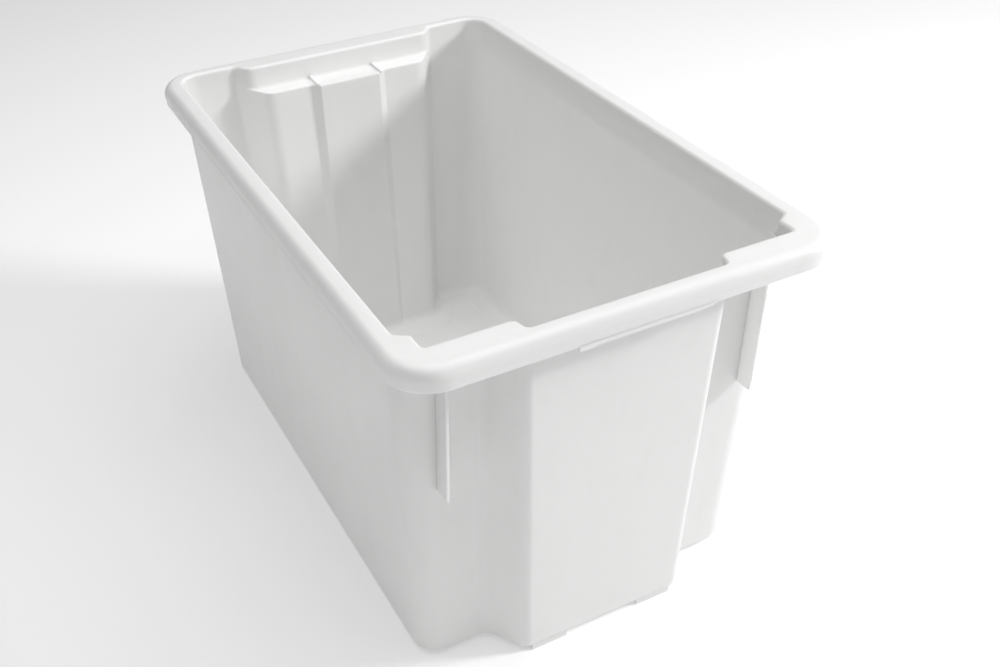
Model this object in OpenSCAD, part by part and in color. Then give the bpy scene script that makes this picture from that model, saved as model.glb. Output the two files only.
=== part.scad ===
// Stack-and-nest crate, moulded in one shot and divided here into its named regions.
// The crate opens upward. Its front end, which carries the outward panel, faces -Y.
// Turned end for end it stacks on its own ledges; facing the same way it nests.

/* [Overall] */
// Outside length of the rim, front to rear
crate_l = 645; // [600:1:720]
// Outside width of the rim, side to side
crate_w = 413; // [390:1:470]
// Height from the soles of the feet to the top of the rim
crate_h = 380; // [340:1:440]

/* [Walls] */
// Thickness of every wall
wall_t = 3; // [2:0.5:4]
// Thickness of the floor
floor_t = 3.5; // [2.5:0.5:5]
// How far each long wall leans in from rim to base
lean_x = 16.5; // [10:0.5:20]
// How far each end wall leans in from rim to base
lean_y = 19.5; // [10:0.5:22]
// Outside radius of the upright corners
corner_r = 25; // [18:1:30]

/* [Rim] */
// Width of the rim flange outside the long walls
flange_side_w = 18; // [14:1:22]
// Width of the rim flange outside the end walls
flange_end_w = 15.5; // [13:0.5:20]
// Depth of the rim, from its top to the bottom of the skirt
rim_h = 21; // [16:1:24]
// Thickness of the flange and of the skirt
rim_t = 3; // [2:0.5:4]
// Outside radius of the rim corners
rim_r = 42; // [40:1:60]

/* [Ends] */
// Half width of the front panel and of the rear column at the rim
panel_x_top = 95; // [84:1:100]
// Half width of the front panel and of the rear column at the base
panel_x_base = 83; // [74:1:86]
// Width of each slanting flank, measured across the crate
flank_w = 24; // [18:1:30]
// How far the inset walls stand back from the outermost end walls
inset_d = 35; // [32:1:38]

/* [Stacking] */
// Depth of the stacking ledges below the top of the rim
ledge_drop = 25; // [24:1:35]
// Depth of the ledges, front to rear
ledge_w = 20; // [14:1:24]
// Half width of the buttress under the middle of the rear ledge
buttress_x = 40; // [30:1:50]
// How far the buttress stands out at the ledge
buttress_d = 12; // [8:1:20]
// Height of the feet
foot_h = 5; // [4:1:10]
// Length of each foot, across the crate
foot_l = 38; // [24:1:40]

/* [Grip] */
// Length of the lip under the front rim
grip_l = 130; // [100:1:150]
// How far the lip hangs below the skirt
grip_h = 4; // [3:0.5:6]
// Height of the gussets under the front ledges
gusset_h = 139; // [80:1:160]

/* [Hidden] */
$fn = 96;
moulding = [0.93, 0.93, 0.92];

// Larger than the crate, for cutting shapes that run right through it
big = 2000;
// How far a cutting shape runs past the faces it cuts
over = 1;

// Levels
base_z = foot_h;
floor_z = base_z + floor_t;
ledge_z = crate_h - ledge_drop;
shelf_z = ledge_z - wall_t;
flange_z = crate_h - rim_t;
skirt_z = crate_h - rim_h;

// Heights that the walls run over: all the way up, below the ledges, above them
full = [floor_z, flange_z];
low = [floor_z, shelf_z];
high = [ledge_z, flange_z];

// Half sizes of the body where it meets the rim
top_x = crate_w / 2 - flange_side_w;
top_y = crate_l / 2 - flange_end_w;

// Where the upright corners begin, measured from the middle
corner_cut_x = top_x - lean_x - corner_r;
front_cut_y = top_y - lean_y - inset_d - corner_r;
rear_cut_y = top_y - lean_y - corner_r;

// Where the rim corners begin, measured from the middle
rim_cut_x = crate_w / 2 - rim_r;
rim_cut_y = crate_l / 2 - rim_r;

// Buttress, stops and corner pads
buttress_base_d = 3;
stop_t = 3;
stop_h = 4;
stop_tip_h = 1.5;
pad_x = top_x - wall_t - 10;
pad_y = top_y - inset_d + ledge_w - wall_t - 26;

// Feet, gussets and lip
foot_d = 14;
foot_setback = 1;
foot_x = buttress_x + foot_l / 2 - 1;
foot_y = top_y - lean_y - foot_setback - foot_d / 2;
rear_foot_x = corner_cut_x - foot_l / 2;
gusset_t = 2.5;
gusset_d = 18;
gusset_x = top_x - 34.5;
grip_x = 7;

// A size that changes evenly from base to rim, at height z
function at(base, top, z) = base + (top - base) * (z - base_z) / (crate_h - base_z);
function half_x(z) = at(top_x - lean_x, top_x, z);
function outer_y(z) = at(top_y - lean_y, top_y, z);
function inner_y(z) = outer_y(z) - inset_d;
function panel_x(z) = at(panel_x_base, panel_x_top, z);

// Plan direction a flank faces: outward across the crate and to the front
flank_n = [inset_d, -flank_w] / norm([inset_d, flank_w]);
flank_angle = atan2(flank_n[1], flank_n[0]);

// Plan lines that divide the end walls, each as [place at the base, place at the rim],
// a little way off the bends
bend_margin = 3;
panel_edge = [panel_x_base, panel_x_top] - bend_margin * [1, 1];
flank_edge = [panel_x_base, panel_x_top] + (flank_w + bend_margin) * [1, 1];
corner_edge = corner_cut_x * [1, 1];
far_edge = big * [1, 1];

// The heights that every leaning shape is drawn between, past both ends of the crate
span = [base_z - over, crate_h + over];

// Everything behind a leaning plane that faces plan angle a and lies d[0] from
// the middle at the bottom of the span and d[1] at its top
module lean(a, d)
{
    rotate([0, 0, a])
        rotate([90, 0, 0])
            linear_extrude(big, center = true)
                polygon([[-big, span[0]], [d[0], span[0]], [d[1], span[1]], [-big, span[1]]]);
}

// A round post that leans from p0 at the bottom of the span to p1 at its top
module leaning_post(p0, p1, r)
{
    run = p1 - p0;
    rise = span[1] - span[0];
    translate([p0[0], p0[1], span[0]])
        rotate([0, 0, atan2(run[1], run[0])])
            rotate([0, atan2(norm(run), rise), 0])
                cylinder(r = r, h = norm([rise, norm(run)]));
}

// A block with four leaning sides: half width x, and distances f to the front
// and b to the rear, each given at the two ends of the span
module leaning_block(x, f, b)
{
    intersection()
    {
        lean(0, x);
        lean(180, x);
        lean(-90, f);
        lean(90, b);
    }
}

// How far a distance changes for each unit of height
function slope(d) = (d[1] - d[0]) / (span[1] - span[0]);

// Where the axis of a corner post stands, r inside a wall at d
function axis(d, r) = d - r * norm([1, slope(d)]) * [1, 1];

// How far past its axis a post touches the wall at d, measured along the wall at e
function touch(r, d, e) = r * slope(d) * slope(e) / norm([1, slope(d)]) * [1, 1];

// A leaning block with its upright edges rounded
module rounded_block(x, f, b, r)
{
    ax = axis(x, r);
    af = axis(f, r);
    ab = axis(b, r);
    leaning_block(x, af + touch(r, x, f), ab + touch(r, x, b));
    leaning_block(ax + touch(r, f, x), f, b);
    for (s = [-1, 1])
    {
        leaning_post([s * ax[0], -af[0]], [s * ax[1], -af[1]], r);
        leaning_post([s * ax[0], ab[0]], [s * ax[1], ab[1]], r);
    }
}

// What the two flank planes keep between them, at distance d from the middle
module between_flanks(d)
{
    intersection()
    {
        lean(flank_angle, d);
        lean(180 - flank_angle, d);
    }
}

// The crate's plan swept over the span, t inside its outer surface, with its
// inset end walls moved outward by shift
module body(t, shift)
{
    x = [for (h = span) half_x(h) - t];
    outer = [for (h = span) outer_y(h) - t];
    inset = [for (h = span) inner_y(h) + shift - t];
    bulge = [for (h = span) flank_n * [panel_x(h), -outer_y(h)] - t];
    void = [for (h = span) flank_n * [panel_x(h), inner_y(h)] + t];
    difference()
    {
        rounded_block(x, inset, outer, corner_r - t);
        intersection()
        {
            between_flanks(void);
            lean(-90, -inset);
        }
    }
    intersection()
    {
        leaning_block(x, outer, [0, 0]);
        between_flanks(bulge);
    }
}

// Keeps what lies between two heights
module level(z)
{
    intersection()
    {
        children();
        translate([-big / 2, -big / 2, z[0]])
            cube([big, big, z[1] - z[0]]);
    }
}

// The walls between two heights
module walls(z, shift)
{
    level(z)
        difference()
        {
            body(0, shift);
            body(wall_t, shift);
        }
}

// The floors of the ledges, which join the lower walls to the upper walls
module ledge_floors()
{
    level([shelf_z, ledge_z])
        difference()
        {
            body(0, ledge_w);
            body(wall_t, 0);
        }
}

// Draws its children on the right, or mirrored on the left
module on_side(side)
{
    if (side > 0)
        children();
    else
        mirror([1, 0, 0])
            children();
}

// Keeps the part of one end that lies between two upright planes, a and b
module sector(end, a, b)
{
    intersection()
    {
        children();
        rotate([90, 0, 0])
            linear_extrude(big, center = true)
                polygon([
                    [a[0], base_z],
                    [b[0], base_z],
                    [b[1], crate_h],
                    [a[1], crate_h]
                ]);
        translate([-2 * big, end < 0 ? -big : 0, -over])
            cube([4 * big, big, big]);
    }
}

// Keeps what lies between two x and two y, at every height
module zone(x, y)
{
    intersection()
    {
        children();
        translate([x[0], y[0], -over])
            cube([x[1] - x[0], y[1] - y[0], big]);
    }
}

// Keeps one front or rear corner on the right
module corner(end)
{
    zone([corner_cut_x, big], end < 0 ? [-big, -front_cut_y] : [rear_cut_y, big])
        children();
}

// The front of the crate beside the panel, up to the side wall
module front_right()
{
    zone([0, big], [-big, -front_cut_y])
        sector(-1, panel_edge, far_edge)
            children();
}

// The hollow under the flange behind a corner pad, open downward
module pad_hollow()
{
    translate([pad_x + wall_t, -pad_y - wall_t - big, shelf_z - over])
        cube([big, big, flange_z - shelf_z + over]);
}

// Floor
module floor_panel()
{
    color(moulding)
        level([base_z, floor_z])
            body(0, 0);
}

// Long walls
module side_wall(side)
{
    color(moulding)
        on_side(side)
            zone([corner_cut_x, big], [-front_cut_y, rear_cut_y])
                walls(full, 0);
}

// Front end
module front_panel()
{
    color(moulding)
        sector(-1, -panel_edge, panel_edge)
            walls(full, 0);
}

module front_flank(side)
{
    color(moulding)
        on_side(side)
            sector(-1, panel_edge, flank_edge)
                walls(low, 0);
}

module front_inset_wall(side)
{
    color(moulding)
        on_side(side)
            sector(-1, flank_edge, corner_edge)
                walls(low, 0);
}

module front_corner(side)
{
    color(moulding)
        on_side(side)
            corner(-1)
                walls(low, 0);
}

module front_ledge(side)
{
    color(moulding)
        on_side(side)
            front_right()
                difference()
                {
                    ledge_floors();
                    pad_hollow();
                }
}

module front_upper_wall(side)
{
    color(moulding)
        on_side(side)
            front_right()
                difference()
                {
                    walls(high, ledge_w);
                    pad_hollow();
                }
}

// A stepped-in wall that squares off the opening at a front corner
module corner_pad(side)
{
    color(moulding)
        on_side(side)
            zone([pad_x, big], [-big, -pad_y])
                difference()
                {
                    level([ledge_z, crate_h])
                        body(wall_t, ledge_w);
                    pad_hollow();
                }
}

// Rear end
module rear_column()
{
    color(moulding)
        sector(1, -panel_edge, panel_edge)
            walls(low, 0);
}

module rear_flank(side)
{
    color(moulding)
        on_side(side)
            sector(1, panel_edge, flank_edge)
                walls(low, 0);
}

module rear_panel(side)
{
    color(moulding)
        on_side(side)
            sector(1, flank_edge, corner_edge)
                walls(full, 0);
}

module rear_corner(side)
{
    color(moulding)
        on_side(side)
            corner(1)
                walls(full, 0);
}

module rear_ledge()
{
    color(moulding)
        sector(1, -flank_edge, flank_edge)
            ledge_floors();
}

module rear_upper_wall()
{
    color(moulding)
        sector(1, -flank_edge, flank_edge)
            walls(high, ledge_w);
}

// A buttress down the column that carries the middle of the rear ledge
module rear_buttress()
{
    y_low = inner_y(floor_z) - wall_t;
    y_high = inner_y(ledge_z) - wall_t;
    color(moulding)
        translate([-buttress_x, 0, 0])
            rotate([90, 0, 90])
                linear_extrude(2 * buttress_x)
                    polygon([
                        [y_low - buttress_base_d, floor_z],
                        [y_low, floor_z],
                        [y_high, ledge_z],
                        [y_high - buttress_d, ledge_z]
                    ]);
}

// Two low ribs that keep a stacked crate from sliding sideways
module ledge_stops()
{
    tip_y = inner_y(ledge_z) - wall_t - buttress_d / 2;
    color(moulding)
        for (s = [-1, 1])
            translate([s * (buttress_x - stop_t / 2) - stop_t / 2, 0, 0])
                rotate([90, 0, 90])
                    linear_extrude(stop_t)
                        polygon([
                            [tip_y, ledge_z],
                            [inner_y(ledge_z) + ledge_w - wall_t, ledge_z],
                            [inner_y(ledge_z + stop_h) + ledge_w - wall_t, ledge_z + stop_h],
                            [tip_y, ledge_z + stop_tip_h]
                        ]);
}

// Outline of the rim, drawn in from its edge
module rim_outline(inset)
{
    r = rim_r - inset;
    x = crate_w / 2 - inset;
    y = crate_l / 2 - inset;
    square([2 * (x - r), 2 * y], center = true);
    square([2 * x, 2 * (y - r)], center = true);
    for (i = [-1, 1], j = [-1, 1])
        translate([i * (x - r), j * (y - r)])
            circle(r);
}

// The flat flange, open over the inside of the crate
module rim_flange()
{
    difference()
    {
        translate([0, 0, flange_z])
            linear_extrude(rim_t)
                rim_outline(0);
        body(wall_t, ledge_w);
    }
}

// The skirt that hangs from the edge of the flange
module rim_skirt()
{
    translate([0, 0, skirt_z])
        linear_extrude(flange_z - skirt_z)
            difference()
            {
                rim_outline(0);
                rim_outline(rim_t);
            }
}

module rim_end(end)
{
    color(moulding)
        zone([-rim_cut_x, rim_cut_x], end < 0 ? [-big, -rim_cut_y] : [rim_cut_y, big])
            children();
}

module rim_side(side)
{
    color(moulding)
        on_side(side)
            zone([rim_cut_x, big], [-rim_cut_y, rim_cut_y])
                children();
}

module rim_corner(side, end)
{
    color(moulding)
        on_side(side)
            zone([rim_cut_x, big], end < 0 ? [-big, -rim_cut_y] : [rim_cut_y, big])
            {
                rim_flange();
                rim_skirt();
            }
}

// Lip under the middle of the front rim
module front_grip_lip()
{
    color(moulding)
        translate([grip_x - grip_l / 2, -crate_l / 2, skirt_z - grip_h])
            cube([grip_l, rim_t, grip_h]);
}

// Gusset under a front ledge
module gusset(side)
{
    toe_z = shelf_z - gusset_h;
    color(moulding)
        translate([side * gusset_x - gusset_t / 2, 0, 0])
            rotate([90, 0, 90])
                linear_extrude(gusset_t)
                    polygon([
                        [-inner_y(toe_z) - gusset_d, toe_z],
                        [-inner_y(toe_z), toe_z],
                        [-inner_y(shelf_z), shelf_z],
                        [-inner_y(shelf_z) - gusset_d, shelf_z]
                    ]);
}

// Feet
module foot(x, y)
{
    color(moulding)
        translate([x - foot_l / 2, y - foot_d / 2, 0])
            cube([foot_l, foot_d, foot_h]);
}

floor_panel();
side_wall(-1);  // left_wall
side_wall(1);  // right_wall
front_panel();
front_flank(-1);  // front_left_flank
front_flank(1);  // front_right_flank
front_inset_wall(-1);  // front_left_inset_wall
front_inset_wall(1);  // front_right_inset_wall
front_corner(-1);  // front_left_corner
front_corner(1);  // front_right_corner
rear_column();
rear_flank(-1);  // rear_left_flank
rear_flank(1);  // rear_right_flank
rear_panel(-1);  // rear_left_panel
rear_panel(1);  // rear_right_panel
rear_corner(-1);  // rear_left_corner
rear_corner(1);  // rear_right_corner
rear_buttress();
rear_ledge();
ledge_stops();
front_ledge(-1);  // front_left_ledge
front_ledge(1);  // front_right_ledge
rear_upper_wall();
front_upper_wall(-1);  // front_left_upper_wall
front_upper_wall(1);  // front_right_upper_wall
corner_pad(-1);  // left_corner_pad
corner_pad(1);  // right_corner_pad
rim_end(-1) rim_flange();  // rim_front_top
rim_end(1) rim_flange();  // rim_rear_top
rim_side(-1) rim_flange();  // rim_left_top
rim_side(1) rim_flange();  // rim_right_top
rim_end(-1) rim_skirt();  // rim_front_skirt
rim_end(1) rim_skirt();  // rim_rear_skirt
rim_side(-1) rim_skirt();  // rim_left_skirt
rim_side(1) rim_skirt();  // rim_right_skirt
rim_corner(-1, -1);  // rim_front_left_corner
rim_corner(1, -1);  // rim_front_right_corner
rim_corner(-1, 1);  // rim_rear_left_corner
rim_corner(1, 1);  // rim_rear_right_corner
front_grip_lip();
gusset(-1);  // left_gusset
gusset(1);  // right_gusset
foot(-foot_x, -foot_y);  // front_left_foot
foot(foot_x, -foot_y);  // front_right_foot
foot(-rear_foot_x, foot_y);  // rear_left_foot
foot(rear_foot_x, foot_y);  // rear_right_foot
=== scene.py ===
import math

import bmesh
import bpy
import numpy as np
from mathutils import Matrix, Vector


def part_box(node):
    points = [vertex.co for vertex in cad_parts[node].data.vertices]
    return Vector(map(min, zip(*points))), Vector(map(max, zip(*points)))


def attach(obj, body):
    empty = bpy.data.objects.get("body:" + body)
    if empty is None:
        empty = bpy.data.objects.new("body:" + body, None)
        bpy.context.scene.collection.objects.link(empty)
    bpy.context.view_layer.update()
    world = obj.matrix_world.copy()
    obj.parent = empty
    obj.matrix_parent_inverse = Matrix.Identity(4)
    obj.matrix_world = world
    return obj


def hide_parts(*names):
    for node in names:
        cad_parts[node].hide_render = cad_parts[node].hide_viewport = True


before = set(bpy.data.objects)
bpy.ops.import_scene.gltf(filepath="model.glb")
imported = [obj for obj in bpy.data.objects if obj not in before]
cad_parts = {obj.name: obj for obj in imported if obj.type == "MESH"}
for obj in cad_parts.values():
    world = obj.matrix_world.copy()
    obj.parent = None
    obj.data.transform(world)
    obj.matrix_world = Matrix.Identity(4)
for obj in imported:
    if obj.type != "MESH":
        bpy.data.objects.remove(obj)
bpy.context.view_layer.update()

MM = 0.001

# ---------------------------------------------------------------- sizes, in mm
def span_mm(node):
    low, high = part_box(node)
    return [v / MM for v in low], [v / MM for v in high]


FLOOR_LOW, FLOOR_HIGH = span_mm("floor_panel")
RIM_LOW, _ = span_mm("rim_front_left_corner")
_, RIM_HIGH = span_mm("rim_rear_right_corner")
LEDGE_LOW, LEDGE_HIGH = span_mm("rear_ledge")

WALL = 3.0                       # wall thickness
BASE_Z = FLOOR_LOW[2]            # underside of the floor
FLOOR_Z = FLOOR_HIGH[2]          # top of the floor
TOP_Z = RIM_HIGH[2]              # top of the rim
FLANGE_Z = TOP_Z - WALL          # underside of the flange
SKIRT_Z = RIM_LOW[2]             # bottom of the skirt
SHELF_Z, LEDGE_Z = LEDGE_LOW[2], LEDGE_HIGH[2]
RIM_X, RIM_Y = RIM_HIGH[0], RIM_HIGH[1]
RIM_R = 42.0                     # corners of the rim

TOP_X, BASE_X = 188.5, 172.0     # half width of the body at the rim and at the base
TOP_O, BASE_O = 307.0, 287.5     # outermost end walls
INSET = 35.0                     # how far the inset walls stand back
PANEL_TOP, PANEL_BASE = 95.0, 83.0   # half width of the front panel
FLANK_W = 24.0                   # width of the slope beside it
LEDGE_W = 20.0
CORNER_R = 25.0                  # corners of the body
HOLLOW_R = 15.0                  # where a flank meets an inset wall
FRONT_EDGE_R, REAR_EDGE_R = 12.0, 10.0   # where a flank meets an outer panel
LEAST_R = 0.8
BUTTRESS_X, BUTTRESS_R = 40.0, 4.0
BUTTRESS_BASE, BUTTRESS_TOP = 2.0, 7.0   # how far the buttress stands out
PAD_Y = -269.0                   # rear edge of the corner pads
PAD = 12.0                       # how far the pads stand in at the rim
BASE_R, INNER_R = 4.0, 10.0      # roundings under and over the edge of the floor
DRAFT = 1.0                      # how much the skirt's outer face leans in
SKIRT_EDGE_R = (WALL - DRAFT) / 2
BEAD = 10.0                      # rounding of the rim's outer edge
BEAD_Z = TOP_Z - BEAD
INNER_EDGE = 3.0                 # rounding of the rim's inner edge
STEEP = 0.8                      # how far the front flanks are squared off at the rim


def at(base, top, z):
    return base + (top - base) * (z - BASE_Z) / (TOP_Z - BASE_Z)


# ---------------------------------------------------------------- plan outlines
FLANK_N = np.array([INSET, -FLANK_W]) / math.hypot(INSET, FLANK_W)


def meet(a, b):
    """Where two lines cross, each (normal, distance)."""
    m = np.array([a[0], b[0]], float)
    return np.linalg.solve(m, np.array([a[1], b[1]], float))


# (points along the straight before the corner, points round the corner)
COUNTS = [(10, 9), (5, 11), (7, 15), (3, 7), (3, 7), (44, 15), (6, 9), (5, 11), (6, 6), (2, 6)]
LAST_STRAIGHT = 7


def trace(start, corners, end):
    """Points from start round the corners to end. A corner is (point, radius, least tangent length)."""
    points = []
    here = np.array(start, float)
    path = [here] + [np.array(c[0], float) for c in corners] + [np.array(end, float)]
    for i, (corner, radius, least) in enumerate(corners):
        before, after = path[i] - path[i + 1], path[i + 2] - path[i + 1]
        before, after = before / np.linalg.norm(before), after / np.linalg.norm(after)
        cos_turn = float(np.clip(-before @ after, -1, 1))
        half = 0.5 * math.acos(cos_turn)
        t = max(radius * math.tan(half), least)
        a, b, w = path[i + 1] + before * t, path[i + 1] + after * t, math.cos(half)
        straight, arc = COUNTS[i]
        for k in range(straight):
            points.append(here + (a - here) * k / straight)
        for k in range(arc):
            s = k / (arc - 1)
            q = [(1 - s) ** 2, 2 * w * s * (1 - s), s * s]
            points.append((a * q[0] + path[i + 1] * q[1] + b * q[2]) / sum(q))
        points.pop()
        here = b
    for k in range(LAST_STRAIGHT + 1):
        points.append(here + (path[-1] - here) * k / LAST_STRAIGHT)
    return np.array(points)


def mirrored(half):
    """A closed ring from the half at x >= 0, which runs from the front middle to the rear middle."""
    other = half[1:-1][::-1] * [-1, 1]
    return np.vstack([half, other])


def body_ring(z, d, shift=0.0, pad=0.0, butt=0.0, steep=0.0):
    """Plan of the body at height z, d inside its outer surface. shift moves the inset walls out,
    pad squares off the front corners, butt stands the buttress out, steep squares the front flanks."""
    hx, out = at(BASE_X, TOP_X, z), at(BASE_O, TOP_O, z)
    px = at(PANEL_BASE, PANEL_TOP, z)
    inset = out - INSET
    grow = lambda r: max(r + d, LEAST_R)     # corners that are hollow outside
    ease = lambda r: max(r - d, LEAST_R)     # corners that are full outside
    front_y = -(inset + shift - d)
    flank = (FLANK_N, float(FLANK_N @ [px, -out]) - d)
    back_flank = (FLANK_N, float(FLANK_N @ [px, inset]) + d)
    v1 = meet(((0, 1), -(out - d)), flank)
    v2 = meet(flank, ((0, 1), front_y))
    v2 = np.array([v2[0] + (v1[0] + 1.0 - v2[0]) * steep, front_y])
    r1 = ease(FRONT_EDGE_R) + (5.0 - ease(FRONT_EDGE_R)) * steep
    r2 = grow(HOLLOW_R) + (3.5 - grow(HOLLOW_R)) * steep
    side = hx - d
    k = pad / PAD
    pad_y = k * (PAD_Y + d - WALL) + (1 - k) * (front_y + 30.0)
    v3, r3 = (side - pad, front_y), 5.0 * k + ease(CORNER_R) * (1 - k)
    v4, v5, r4 = (side - pad, pad_y), (side, pad_y + 5.0 + 3.0 * k), 1.0 + 2.0 * k
    v6 = (side, out - d)
    v7 = meet(((0, 1), out - d), back_flank)
    wall_y = inset + shift - d
    v8 = meet(back_flank, ((0, 1), wall_y))
    butt_r = min(BUTTRESS_R, max(0.45 * butt, LEAST_R))
    v9 = (BUTTRESS_X + float(np.clip(butt, 1, 5)), wall_y)
    v10 = (BUTTRESS_X - float(np.clip(butt, 1, 4)), wall_y - butt)
    corners = [
        (v1, r1, 0.5), (v2, r2, 0.5), (v3, r3, 0.5),
        (v4, r4, 0.8), (v5, r4, 0.8), (v6, ease(CORNER_R), 0.5),
        (v7, ease(REAR_EDGE_R), 0.5), (v8, grow(HOLLOW_R), 0.5),
        (v9, butt_r, 0.5), (v10, butt_r, 0.5),
    ]
    return mirrored(trace((0, v1[1]), corners, (0, v10[1])))


def rim_ring(e):
    """Plan of the rim, e inside its edge."""
    x, y, r = RIM_X - e, RIM_Y - e, RIM_R - e
    corners = [
        ((PANEL_TOP, -y), 1, 3), ((PANEL_TOP + FLANK_W, -y), 1, 3), ((x, -y), r, 1),
        ((x, PAD_Y - 2), 1, 2), ((x, PAD_Y + 8), 1, 2), ((x, y), r, 1),
        ((PANEL_TOP + FLANK_W, y), 1, 3), ((PANEL_TOP + 12, y), 1, 3),
        ((BUTTRESS_X + 4, y), 1, 1), ((BUTTRESS_X - 4, y), 1, 1),
    ]
    return mirrored(trace((0, -y), corners, (0, y)))


# ---------------------------------------------------------------- the shell's stations
rings = []


def add(plan, z):
    rings.append(np.column_stack([plan, np.full(len(plan), float(z))]))


def quarter(n):
    return [0.5 * math.pi * k / n for k in range(n + 1)]


def butt_at(z):
    """How far the buttress stands out."""
    return BUTTRESS_BASE + (BUTTRESS_TOP - BUTTRESS_BASE) * (z - FLOOR_Z) / (LEDGE_Z - FLOOR_Z)


def steep_at(z):
    """The front flanks turn from steep at the rim to sloping at the ledge."""
    return STEEP * (z - LEDGE_Z) / (TOP_Z - LEDGE_Z)


def pad_at(z):
    """The corner pads run out at the ledge."""
    return PAD * min(1.0, 1.5 * (z - LEDGE_Z) / (TOP_Z - LEDGE_Z))


def side_crease(plan, depth):
    """The skirt's long sides stand back a little below the bead, fading out before the corners."""
    moved = plan.copy()
    reach = np.clip((RIM_Y - RIM_R - 10.0 - np.abs(plan[:, 1])) / 40.0, 0, 1)
    on_side = (np.abs(plan[:, 0]) > RIM_X - 6.0)
    moved[:, 0] -= np.sign(plan[:, 0]) * depth * reach * on_side
    return moved


# underside, out to the rounded edge
for scale in (0.25, 0.5, 0.75, 1.0):
    add(body_ring(BASE_Z, 24.0) * scale, BASE_Z)
for d in (15.0, BASE_R + 2):
    add(body_ring(BASE_Z, d), BASE_Z)
for a in quarter(8):
    z = BASE_Z + BASE_R * (1 - math.cos(a))
    add(body_ring(z, BASE_R * (1 - math.sin(a))), z)
# outer wall up to the shelf
for z in np.linspace(BASE_Z + BASE_R + 2, SHELF_Z - 3, 16):
    add(body_ring(z, 0), z)
# under the shelf, with a fillet at its root and a rounded lip
for a in quarter(3):
    z = SHELF_Z - 2 + 2 * math.sin(a)
    add(body_ring(z, 0, shift=2 * (1 - math.cos(a))), z)
add(body_ring(SHELF_Z, 0, shift=LEDGE_W / 2), SHELF_Z)
for a in quarter(3):
    z = SHELF_Z + 1 - math.cos(a)
    add(body_ring(z, 0, shift=LEDGE_W - 1 + math.sin(a)), z)
for z in (SHELF_Z + 6, SHELF_Z + 14, FLANGE_Z - 4):
    add(body_ring(z, 0, shift=LEDGE_W), z)
# under the flange, out to the skirt
for a in quarter(3):
    z = FLANGE_Z - 2 + 2 * math.sin(a)
    add(body_ring(z, -2 * (1 - math.cos(a)), shift=LEDGE_W), z)
add(rim_ring(WALL + 1.5), FLANGE_Z)
for a in quarter(3)[1:]:
    add(rim_ring(WALL + 1.5 - 1.5 * math.sin(a)), FLANGE_Z - 1.5 + 1.5 * math.cos(a))
for z in (FLANGE_Z - 6, SKIRT_Z + 5, SKIRT_Z + 1.6):
    add(rim_ring(WALL), z)
# bottom edge of the skirt, thinned by the draft of its outer face
for k in range(7):
    a = math.pi * k / 6
    z = SKIRT_Z + SKIRT_EDGE_R - SKIRT_EDGE_R * math.sin(a)
    add(rim_ring(DRAFT + SKIRT_EDGE_R + SKIRT_EDGE_R * math.cos(a)), z)
# outside of the skirt, the crease along its sides, the bead and the top
for z in (SKIRT_Z + 2.5, SKIRT_Z + 5, BEAD_Z - 2.5, BEAD_Z - 1.6):
    add(side_crease(rim_ring(DRAFT * (BEAD_Z - z) / (BEAD_Z - SKIRT_Z)), 0.8), z)
add(side_crease(rim_ring(0), 1.0), BEAD_Z - 1.2)
add(side_crease(rim_ring(0), 0.3), BEAD_Z - 0.5)
for a in quarter(12):
    add(rim_ring(BEAD * (1 - math.cos(a))), BEAD_Z + BEAD * math.sin(a))
add(body_ring(TOP_Z, WALL - INNER_EDGE - 0.8, shift=LEDGE_W, pad=PAD, steep=STEEP), TOP_Z)
for a in quarter(6):
    z = TOP_Z - INNER_EDGE * (1 - math.cos(a))
    d = WALL - INNER_EDGE + INNER_EDGE * math.sin(a)
    add(body_ring(z, d, shift=LEDGE_W, pad=PAD, steep=STEEP), z)
# upper inner wall
for z in (TOP_Z - INNER_EDGE - 2, TOP_Z - 12, LEDGE_Z + 6, LEDGE_Z + 3):
    add(body_ring(z, WALL, shift=LEDGE_W, pad=pad_at(z), steep=steep_at(z)), z)
# fillet down on to the ledge, the ledge, and its rounded edge
for a in quarter(4):
    z = LEDGE_Z + 2.5 * (1 - math.sin(a))
    shift = LEDGE_W - 2.5 * (1 - math.cos(a))
    add(body_ring(z, WALL, shift=shift, pad=pad_at(z), steep=steep_at(z)), z)
for s in (0.6, 0.2):
    shift = 2 + (LEDGE_W - 5) * s
    add(body_ring(LEDGE_Z, WALL, shift=shift, butt=BUTTRESS_TOP * (1 - s)), LEDGE_Z)
for a in quarter(4):
    z = LEDGE_Z - 2 * (1 - math.cos(a))
    add(body_ring(z, WALL, shift=2 - 2 * math.sin(a), butt=butt_at(z)), z)
# inner wall down to the floor
for z in np.linspace(LEDGE_Z - 4, FLOOR_Z + INNER_R + 2, 16):
    add(body_ring(z, WALL, butt=butt_at(z)), z)
for a in quarter(8):
    z = FLOOR_Z + INNER_R * (1 - math.sin(a))
    add(body_ring(z, WALL + INNER_R * (1 - math.cos(a)), butt=butt_at(z)), z)
# the floor, which drops a little inside its edge
add(body_ring(FLOOR_Z, 18.0, butt=BUTTRESS_BASE), FLOOR_Z)
for scale, drop in ((1.0, 0.0), (0.965, 0.0), (0.96, 0.15), (0.954, 0.55), (0.948, 0.7),
                    (0.75, 0.7), (0.5, 0.7), (0.25, 0.7)):
    add(body_ring(FLOOR_Z, 24.0, butt=BUTTRESS_BASE) * scale, FLOOR_Z - drop)


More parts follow.
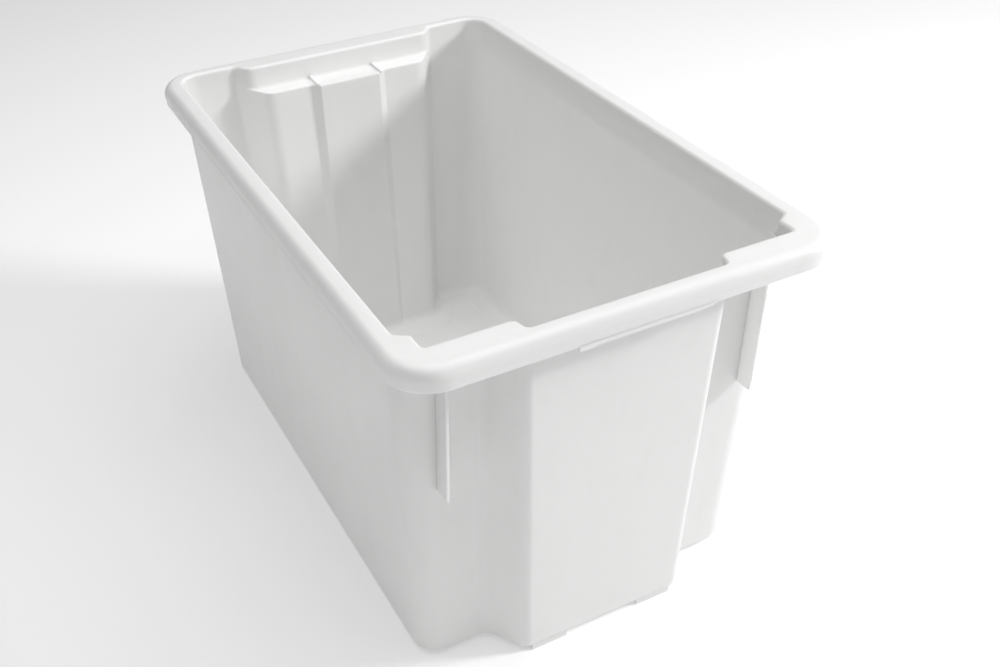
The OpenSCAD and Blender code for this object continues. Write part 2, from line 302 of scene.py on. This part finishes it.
# ---------------------------------------------------------------- meshes
def skin(name, rows, centred=False):
    """A closed mesh through the rings, with a fan at each end."""
    n = len(rows[0])
    faces = []
    for j in range(len(rows) - 1):
        for i in range(n):
            k = (i + 1) % n
            faces.append((j * n + i, j * n + k, (j + 1) * n + k, (j + 1) * n + i))
    count = len(rows) * n
    last = count - n
    ends = [row.mean(0) if centred else [0.0, 0.0, float(row[0][2])] for row in (rows[0], rows[-1])]
    for i in range(n):
        k = (i + 1) % n
        faces.append((count, k, i))
        faces.append((count + 1, last + i, last + k))
    return new_object(name, np.vstack(rows + [ends]) * MM, faces)


def new_object(name, verts, faces):
    mesh = bpy.data.meshes.new(name)
    mesh.from_pydata([list(map(float, v)) for v in verts], [], faces)
    mesh.update()
    obj = bpy.data.objects.new(name, mesh)
    bpy.context.collection.objects.link(obj)
    return obj


def prisms(name, outlines, place, bevel):
    """Solids drawn out from outlines, with rounded edges. Each outline is (points, from, to) and
    place turns (u, v, w) into (x, y, z), all in mm."""
    verts, faces = [], []
    for points, low, high in outlines:
        n, first = len(points), len(verts)
        verts += [place(u, v, low) for u, v in points] + [place(u, v, high) for u, v in points]
        faces.append(tuple(first + i for i in range(n))[::-1])
        faces.append(tuple(first + n + i for i in range(n)))
        for i in range(n):
            k = (i + 1) % n
            faces.append((first + i, first + k, first + n + k, first + n + i))
    obj = new_object(name, np.array(verts, float) * MM, faces)
    bm = bmesh.new()
    bm.from_mesh(obj.data)
    bmesh.ops.recalc_face_normals(bm, faces=bm.faces)
    sharp = [e for e in bm.edges if e.calc_face_angle(0) > math.radians(30)]
    bmesh.ops.bevel(bm, geom=sharp, offset=bevel * MM, segments=3, profile=0.5,
                    affect="EDGES", clamp_overlap=True)
    bm.to_mesh(obj.data)
    bm.free()
    return obj


def tidy_mesh(obj, dist=2e-6):
    bm = bmesh.new()
    bm.from_mesh(obj.data)
    bmesh.ops.remove_doubles(bm, verts=bm.verts, dist=dist)
    bmesh.ops.dissolve_degenerate(bm, edges=bm.edges, dist=dist)
    bmesh.ops.recalc_face_normals(bm, faces=bm.faces)
    bm.to_mesh(obj.data)
    bm.free()


def weigh_normals(obj):
    """Vertex normals weighted by face area, so that flats stay flat beside small roundings."""
    mesh = obj.data
    mesh.shade_smooth()
    total = np.zeros((len(mesh.vertices), 3))
    for p in mesh.polygons:
        n = np.array(p.normal) * p.area
        for v in p.vertices:
            total[v] += n
    length = np.linalg.norm(total, axis=1, keepdims=True)
    total = total / np.maximum(length, 1e-20)
    mesh.normals_split_custom_set_from_vertices(total.tolist())


# ---------------------------------------------------------------- moulded plastic
def plastic():
    mat = bpy.data.materials.new("moulded_polypropylene")
    mat.use_nodes = True
    nt = mat.node_tree
    bsdf = nt.nodes["Principled BSDF"]
    bsdf.inputs["Subsurface Weight"].default_value = 0.6
    bsdf.inputs["Subsurface Radius"].default_value = (1.0, 1.0, 1.0)
    bsdf.inputs["Subsurface Scale"].default_value = 0.005
    bsdf.inputs["IOR"].default_value = 1.49
    coords = nt.nodes.new("ShaderNodeTexCoord")

    def noise(scale, detail, stretch=(1, 1, 1)):
        mapping = nt.nodes.new("ShaderNodeMapping")
        mapping.inputs["Scale"].default_value = stretch
        nt.links.new(coords.outputs["Object"], mapping.inputs["Vector"])
        n = nt.nodes.new("ShaderNodeTexNoise")
        n.inputs["Scale"].default_value = scale
        n.inputs["Detail"].default_value = detail
        nt.links.new(mapping.outputs["Vector"], n.inputs["Vector"])
        return n.outputs["Fac"]

    def remap(value, low, high, to_low, to_high):
        m = nt.nodes.new("ShaderNodeMapRange")
        limits = {"From Min": low, "From Max": high, "To Min": to_low, "To Max": to_high}
        for socket, limit in limits.items():
            m.inputs[socket].default_value = limit
        nt.links.new(value, m.inputs["Value"])
        return m.outputs["Result"]

    def times(a, b):
        m = nt.nodes.new("ShaderNodeMath")
        m.operation = "MULTIPLY"
        nt.links.new(a, m.inputs[0])
        nt.links.new(b, m.inputs[1])
        return m.outputs[0]

    def bump(height, distance, normal=None):
        b = nt.nodes.new("ShaderNodeBump")
        b.inputs["Distance"].default_value = distance
        nt.links.new(height, b.inputs["Height"])
        if normal:
            nt.links.new(normal, b.inputs["Normal"])
        return b.outputs["Normal"]

    grain = noise(900.0, 3.0)                        # spark-etched mould texture
    waves = noise(16.0, 2.0)                         # uneven cooling of the walls
    streaks = noise(30.0, 4.0, (1.0, 1.0, 0.12))     # flow lines and wiping marks
    scuffs = noise(55.0, 8.0, (1.0, 1.0, 0.5))       # worn patches
    tint = times(remap(streaks, 0.3, 0.7, 0.975, 1.0), remap(scuffs, 0.55, 0.75, 1.0, 0.965))
    mix = nt.nodes.new("ShaderNodeMix")
    mix.data_type = "RGBA"
    mix.inputs["A"].default_value = (0.70, 0.70, 0.69, 1)
    mix.inputs["B"].default_value = (0.87, 0.87, 0.865, 1)
    nt.links.new(remap(tint, 0.9, 1.0, 0.75, 1.0), mix.inputs["Factor"])
    nt.links.new(mix.outputs["Result"], bsdf.inputs["Base Color"])
    rough = nt.nodes.new("ShaderNodeMath")
    rough.operation = "ADD"
    nt.links.new(remap(waves, 0.3, 0.7, 0.34, 0.42), rough.inputs[0])
    nt.links.new(remap(scuffs, 0.5, 0.75, 0.0, 0.12), rough.inputs[1])
    nt.links.new(rough.outputs[0], bsdf.inputs["Roughness"])
    nt.links.new(bump(grain, 0.00005, bump(waves, 0.0006)), bsdf.inputs["Normal"])
    return mat


PLASTIC = plastic()


def finish_piece(obj, nodes):
    tidy_mesh(obj)
    obj.data.materials.append(PLASTIC)
    weigh_normals(obj)
    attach(obj, "root")
    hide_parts(*nodes)


# ---------------------------------------------------------------- the lip, gussets, feet and stops
def grip_lip():
    """A lip along the bottom of the front skirt, its top sloping up to the skirt. It has a tab at its
    left end and runs out at its right end."""
    low, high = span_mm("front_grip_lip")
    back, bottom = -RIM_Y + WALL - 0.2, low[2] + 0.05
    rows = []
    stations = [
        (low[0] + 0.2, 0.75), (low[0] + 0.8, 1.0), (low[0] + 15.0, 1.0), (low[0] + 17.0, 0.72),
        (0.0, 0.66), (high[0] - 14.0, 0.66), (high[0] - 6.0, 0.4), (high[0] - 0.2, 0.05),
    ]
    for x, s in stations:
        front, sole = -RIM_Y + 1.0 - 0.95 * min(1.0, 1.3 * s), bottom + 3.9 * (1 - s)
        rows.append(np.array([
            [x, back, sole + 0.5], [x, back, SKIRT_Z + 2.0], [x, -RIM_Y + 1.1, SKIRT_Z + 2.0],
            [x, front, sole + 2.2], [x, front, sole + 0.9], [x, front + 0.25, sole + 0.25],
            [x, front + 0.9, sole], [x, back - 0.5, sole],
        ]))
    return skin("grip_lip", rows, centred=True)


def inner_wall(z):
    return at(BASE_O, TOP_O, z) - INSET


def gusset(name, node):
    low, high = span_mm(node)
    mid, half = (low[0] + high[0]) / 2, 1.5
    toe, top, deep, root = low[2], SHELF_Z + 0.6, 18.0, 1.5
    outline = [
        (-inner_wall(toe) - deep, toe), (-inner_wall(toe) + root, toe),
        (-inner_wall(top) + root, top), (-inner_wall(top) - deep, top),
    ]
    return prisms(name, [(outline, mid - half, mid + half)], lambda u, v, w: (w, u, v), 0.9)


def foot(name, node):
    low, high = span_mm(node)
    front = low[1] - 0.6 if low[1] < 0 else low[1]
    back = high[1] + 0.6 if low[1] > 0 else high[1]
    outline = [(low[0], front), (high[0], front), (high[0], back), (low[0], back)]
    return prisms(name, [(outline, 0.0, BASE_Z + 3.0)], lambda u, v, w: (u, v, w), 0.8)


def stops(name, node):
    low, high = span_mm(node)
    tip, back, half = low[1], LEDGE_HIGH[1] - 2.5, 1.5
    outline = [(tip, LEDGE_Z - 1.5), (back, LEDGE_Z - 1.5), (back, high[2]), (tip, LEDGE_Z + 1.5)]
    pair = [(outline, s * (high[0] - half) - half, s * (high[0] - half) + half) for s in (-1, 1)]
    return prisms(name, pair, lambda u, v, w: (w, u, v), 0.7)


finish_piece(grip_lip(), ["front_grip_lip"])
finish_piece(stops("ledge_stop_ribs", "ledge_stops"), ["ledge_stops"])
for side in ("left", "right"):
    finish_piece(gusset(side + "_web", side + "_gusset"), [side + "_gusset"])
    for end in ("front", "rear"):
        node = end + "_" + side + "_foot"
        finish_piece(foot(node + "_pad", node), [node])

SEPARATE = {"front_grip_lip", "left_gusset", "right_gusset", "front_left_foot", "front_right_foot",
            "rear_left_foot", "rear_right_foot", "ledge_stops"}
finish_piece(skin("crate_shell", rings), [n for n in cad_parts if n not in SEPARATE])

# ---------------------------------------------------------------- floor, light and camera
def backdrop():
    mesh = bpy.data.meshes.new("studio_floor")
    s = 6.0
    mesh.from_pydata([(-s, -s, 0), (s, -s, 0), (s, s, 0), (-s, s, 0)], [], [(0, 1, 2, 3)])
    obj = bpy.data.objects.new("studio_floor", mesh)
    bpy.context.collection.objects.link(obj)
    mat = bpy.data.materials.new("studio_floor")
    mat.use_nodes = True
    b = mat.node_tree.nodes["Principled BSDF"]
    b.inputs["Base Color"].default_value = (0.9, 0.9, 0.9, 1)
    b.inputs["Roughness"].default_value = 0.9
    b.inputs["Emission Color"].default_value = (1, 1, 1, 1)
    b.inputs["Emission Strength"].default_value = 0.22
    mesh.materials.append(mat)


backdrop()

world = bpy.data.worlds.new("studio")
bpy.context.scene.world = world
world.use_nodes = True
world.node_tree.nodes["Background"].inputs["Color"].default_value = (1, 1, 1, 1)
world.node_tree.nodes["Background"].inputs["Strength"].default_value = 0.16
bpy.context.scene.view_settings.view_transform = "Standard"


def area(name, place, target, size, power):
    light = bpy.data.lights.new(name, "AREA")
    light.shape = "RECTANGLE"
    light.size, light.size_y = size
    light.energy = power
    obj = bpy.data.objects.new(name, light)
    obj.location = place
    obj.rotation_euler = (Vector(target) - Vector(place)).to_track_quat("-Z", "Y").to_euler()
    bpy.context.collection.objects.link(obj)


area("key", (2.5, -1.26, 1.75), (0, 0, 0.25), (0.5, 0.5), 56)
area("overhead", (0, -0.2, 2.6), (0, 0, 0), (3.0, 3.0), 48)
area("fill", (-2.6, -2.0, 1.3), (0, 0, 0.25), (1.6, 1.6), 1.5)

# the camera that the picture was taken with
AZ, EL, ROLL = math.radians(-26.29), math.radians(32.34), math.radians(-1.82)
PLACE = (-469.3, -953.2, 893.3)          # mm
SENSOR_W, FOCAL = 36.0, 43.6788          # mm
SHIFT_X, SHIFT_Y = 0.0404, -0.0489       # of the picture's width
cam_data = bpy.data.cameras.new("camera")
cam = bpy.data.objects.new("camera", cam_data)
fwd = Vector((-math.sin(AZ) * math.cos(EL), math.cos(AZ) * math.cos(EL), -math.sin(EL)))
right = Vector((math.cos(AZ), math.sin(AZ), 0))
up = right.cross(fwd)
cr, sr = math.cos(ROLL), math.sin(ROLL)
r2, u2 = right * cr + up * sr, up * cr - right * sr
rot = Matrix((r2, u2, -fwd)).transposed()
cam.matrix_world = Matrix.Translation(Vector(PLACE) * MM) @ rot.to_4x4()
cam_data.sensor_width = SENSOR_W
cam_data.lens = FOCAL
cam_data.shift_x = SHIFT_X
cam_data.shift_y = SHIFT_Y
bpy.context.collection.objects.link(cam)
bpy.context.scene.camera = cam
